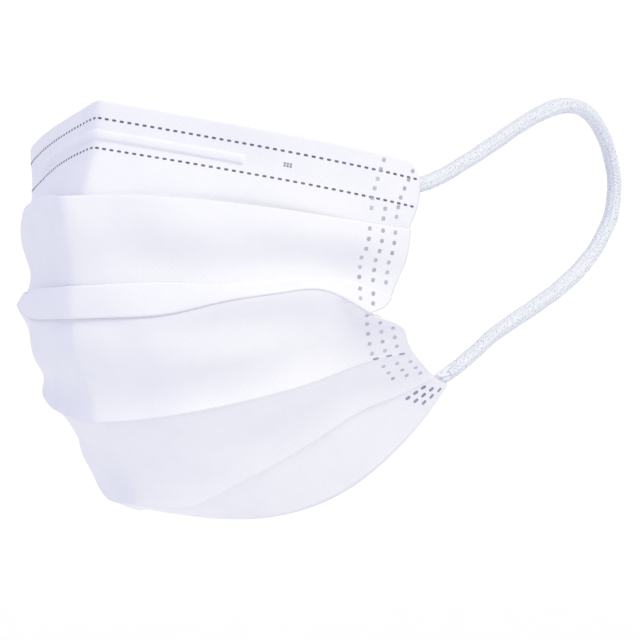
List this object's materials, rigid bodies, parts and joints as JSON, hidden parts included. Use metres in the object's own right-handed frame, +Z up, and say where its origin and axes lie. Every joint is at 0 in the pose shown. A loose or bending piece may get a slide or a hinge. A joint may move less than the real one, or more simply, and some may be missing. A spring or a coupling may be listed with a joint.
{
  "type": "surgical face mask",
  "caption": "Disposable pleated face mask opened as worn, with a hemmed top edge, a nose wire, elastic ear loops and welded corners.",
  "frame": {"origin": "nose bridge: the middle of the top edge on the centre crease, where the mask sits on the wearer's nose", "axes": "+Z up, -Y the way the wearer faces, +X towards the wearer's left ear"},
  "size_m": [0.1392, 0.1598, 0.1091],
  "materials": {
    "nonwoven_cloth": "matt white spunbond nonwoven with a faint lavender cast",
    "nose_strip": "white plastic-coated wire strip",
    "knitted_elastic": "soft fine-knitted round elastic, pale bluish white",
    "welded_elastic": "elastic pressed flat and fused by ultrasonic welding"
  },
  "bodies": {
    "root": {"mask_body": "nonwoven_cloth", "nose_wire": "nose_strip", "ear_loop_left": "knitted_elastic", "ear_loop_right": "knitted_elastic", "loop_weld_top_left": "welded_elastic", "loop_weld_top_right": "welded_elastic", "loop_weld_bottom_left": "welded_elastic", "loop_weld_bottom_right": "welded_elastic"}
  },
  "joints": []
}
